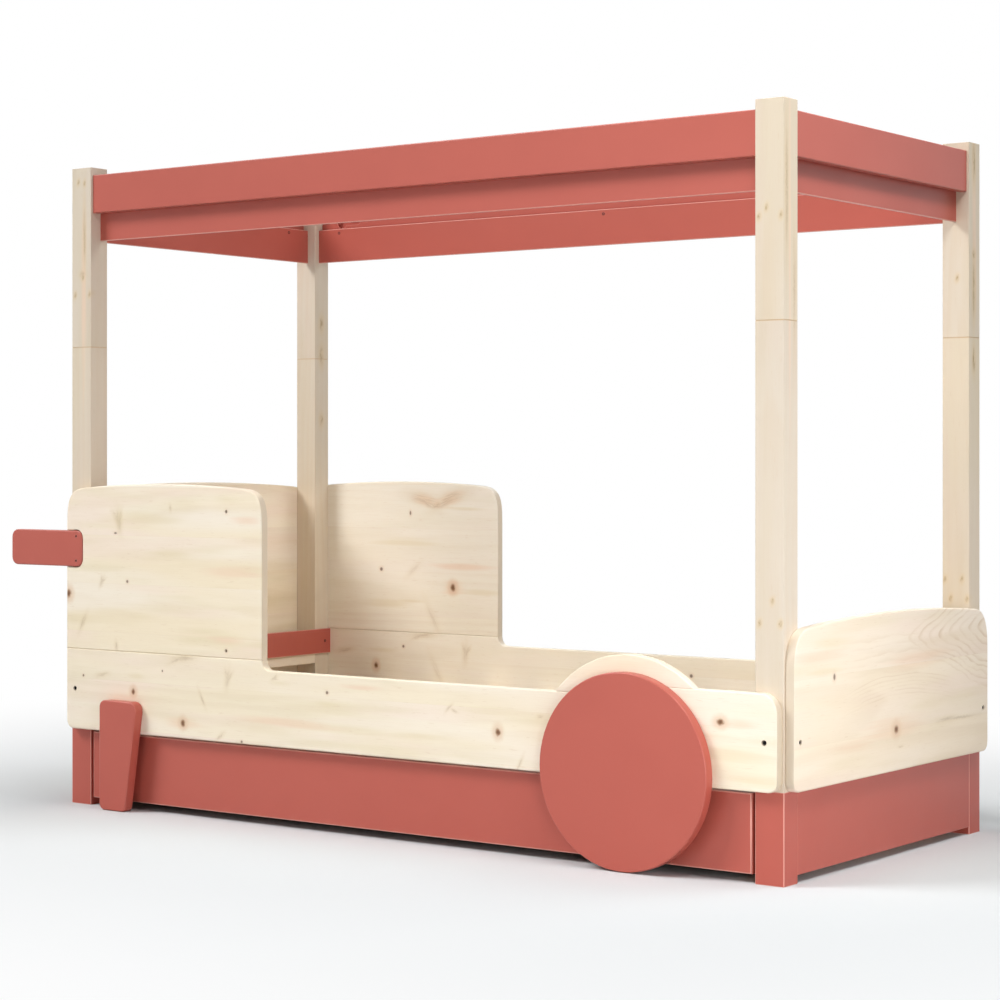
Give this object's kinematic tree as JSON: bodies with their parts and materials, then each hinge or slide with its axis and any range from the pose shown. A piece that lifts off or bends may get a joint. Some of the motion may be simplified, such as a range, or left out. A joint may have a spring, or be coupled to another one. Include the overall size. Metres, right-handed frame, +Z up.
{
  "type": "childrens canopy bed",
  "caption": "Low pine bed with a four-post canopy frame, high cab panels at one end, round wheel panel, stand and an under-bed drawer on castors.",
  "frame": {"origin": "middle of the whole outline, on the floor", "axes": "+X towards the foot end, +Y towards the back long side, +Z up; the drawer opens towards -Y"},
  "size_m": [2.28, 0.991, 1.6045],
  "materials": {
    "post_pine": "pale pine, vertical grain, waxed",
    "board_pine": "pale pine board, grain along the board, waxed",
    "slat_pine": "planed pine slats",
    "red_board": "terracotta red paint on wood, satin",
    "red_leg": "terracotta red paint on wood, satin",
    "drawer_birch": "clear birch board",
    "hardboard": "thin hardboard, smooth side up",
    "castor_plastic": "dark grey moulded plastic"
  },
  "bodies": {
    "frame": {"leg_front_head": "red_leg", "leg_back_head": "red_leg", "leg_front_foot": "red_leg", "leg_back_foot": "red_leg", "lower_post_front_head": "post_pine", "lower_post_back_head": "post_pine", "lower_post_front_foot": "post_pine", "lower_post_back_foot": "post_pine", "upper_post_front_head": "post_pine", "upper_post_back_head": "post_pine", "upper_post_front_foot": "post_pine", "upper_post_back_foot": "post_pine", "canopy_fascia_front": "red_board", "canopy_fascia_back": "red_board", "canopy_fascia_head": "red_board", "canopy_fascia_foot": "red_board", "canopy_valance_front": "red_board", "canopy_valance_back": "red_board", "canopy_valance_head": "red_board", "canopy_valance_foot": "red_board", "side_board_front": "board_pine", "side_board_back": "board_pine", "cab_board_front": "board_pine", "cab_board_back": "board_pine", "mudguard": "board_pine", "headboard": "board_pine", "footboard": "board_pine", "base_panel_head": "red_board", "base_panel_foot": "red_board", "cross_rail_head": "board_pine", "cross_rail_foot": "board_pine", "red_rail_head": "red_board", "drawbar": "red_board", "slat_bearer_front": "slat_pine", "slat_bearer_back": "slat_pine", "slat_01": "slat_pine", "slat_02": "slat_pine", "slat_03": "slat_pine", "slat_04": "slat_pine", "slat_05": "slat_pine", "slat_06": "slat_pine", "slat_07": "slat_pine", "slat_08": "slat_pine", "slat_09": "slat_pine", "slat_10": "slat_pine", "slat_11": "slat_pine"},
    "drawer": {"drawer_front": "red_board", "drawer_back": "drawer_birch", "drawer_side_head": "drawer_birch", "drawer_side_foot": "drawer_birch", "drawer_bottom": "hardboard", "wheel_panel": "red_board", "stand_panel": "red_board", "wheel_block": "red_board", "stand_block": "red_board"},
    "castor_fh": {"castor_front_head": "castor_plastic"},
    "castor_bh": {"castor_back_head": "castor_plastic"},
    "castor_ff": {"castor_front_foot": "castor_plastic"},
    "castor_bf": {"castor_back_foot": "castor_plastic"}
  },
  "joints": [
    {"name": "drawer_slide", "type": "slide", "parent": "frame", "child": "drawer", "axis": [0, -1, 0], "range_m": [0, 0.65]},
    {"name": "castor_front_head_spin", "type": "hinge", "parent": "drawer", "child": "castor_fh", "pos_m": [-0.838, -0.2995, 0.022], "axis": [1, 0, 0], "continuous": true},
    {"name": "castor_back_head_spin", "type": "hinge", "parent": "drawer", "child": "castor_bh", "pos_m": [-0.838, 0.3435, 0.022], "axis": [1, 0, 0], "continuous": true},
    {"name": "castor_front_foot_spin", "type": "hinge", "parent": "drawer", "child": "castor_ff", "pos_m": [1.014, -0.2995, 0.022], "axis": [1, 0, 0], "continuous": true},
    {"name": "castor_back_foot_spin", "type": "hinge", "parent": "drawer", "child": "castor_bf", "pos_m": [1.014, 0.3435, 0.022], "axis": [1, 0, 0], "continuous": true}
  ],
  "couplings": [
    {"joint": "castor_front_head_spin", "follows": "drawer_slide", "rad_per_m": 45.455},
    {"joint": "castor_back_head_spin", "follows": "drawer_slide", "rad_per_m": 45.455},
    {"joint": "castor_front_foot_spin", "follows": "drawer_slide", "rad_per_m": 45.455},
    {"joint": "castor_back_foot_spin", "follows": "drawer_slide", "rad_per_m": 45.455}
  ]
}
